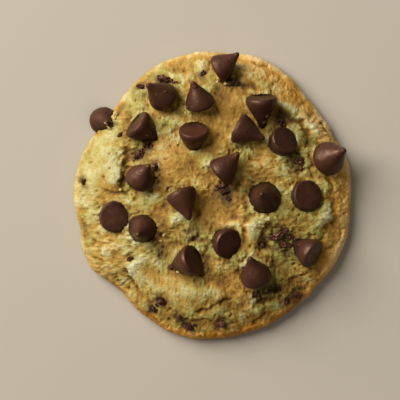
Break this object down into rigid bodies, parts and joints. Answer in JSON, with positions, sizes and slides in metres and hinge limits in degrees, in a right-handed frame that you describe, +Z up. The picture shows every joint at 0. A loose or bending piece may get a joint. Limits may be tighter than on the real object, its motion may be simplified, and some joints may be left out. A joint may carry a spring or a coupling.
{
  "type": "chocolate chip cookie",
  "caption": "Round baked chocolate chip cookie: domed, cracked golden dough with whole chocolate chips half sunk in its top and broken chip bits between them; rests flat on its underside",
  "frame": {"origin": "middle of the underside of the cookie's bounding box, on the surface that it rests on", "axes": "+Z up out of the top crust, with the chips; the cookie lies flat, 96 mm along X and 100 mm along Y"},
  "size_m": [0.096, 0.0998, 0.022],
  "materials": {
    "baked_dough": "matte, crumbly baked crust",
    "dark_chocolate": "satin, smooth moulded chocolate"
  },
  "bodies": {
    "root": {"baked_dough": "baked_dough", "chip_01": "dark_chocolate", "chip_02": "dark_chocolate", "chip_03": "dark_chocolate", "chip_04": "dark_chocolate", "chip_05": "dark_chocolate", "chip_06": "dark_chocolate", "chip_07": "dark_chocolate", "chip_08": "dark_chocolate", "chip_09": "dark_chocolate", "chip_10": "dark_chocolate", "chip_11": "dark_chocolate", "chip_12": "dark_chocolate", "chip_13": "dark_chocolate", "chip_14": "dark_chocolate", "chip_15": "dark_chocolate", "chip_16": "dark_chocolate", "chip_17": "dark_chocolate", "chip_18": "dark_chocolate", "chip_19": "dark_chocolate", "chip_20": "dark_chocolate", "chip_21": "dark_chocolate", "chip_bit_01": "dark_chocolate", "chip_bit_02": "dark_chocolate", "chip_bit_03": "dark_chocolate", "chip_bit_04": "dark_chocolate", "chip_bit_05": "dark_chocolate", "chip_bit_06": "dark_chocolate", "chip_bit_07": "dark_chocolate", "chip_bit_08": "dark_chocolate", "chip_bit_09": "dark_chocolate", "chip_bit_10": "dark_chocolate", "chip_bit_11": "dark_chocolate", "chip_bit_12": "dark_chocolate", "chip_bit_13": "dark_chocolate", "chip_bit_14": "dark_chocolate", "chip_bit_15": "dark_chocolate", "chip_bit_16": "dark_chocolate", "chip_bit_17": "dark_chocolate", "chip_bit_18": "dark_chocolate", "chip_bit_19": "dark_chocolate", "chip_bit_20": "dark_chocolate", "chip_bit_21": "dark_chocolate", "chip_bit_22": "dark_chocolate", "chip_bit_23": "dark_chocolate", "chip_bit_24": "dark_chocolate", "chip_bit_25": "dark_chocolate", "chip_bit_26": "dark_chocolate", "chip_bit_27": "dark_chocolate", "chip_bit_28": "dark_chocolate"}
  },
  "joints": []
}
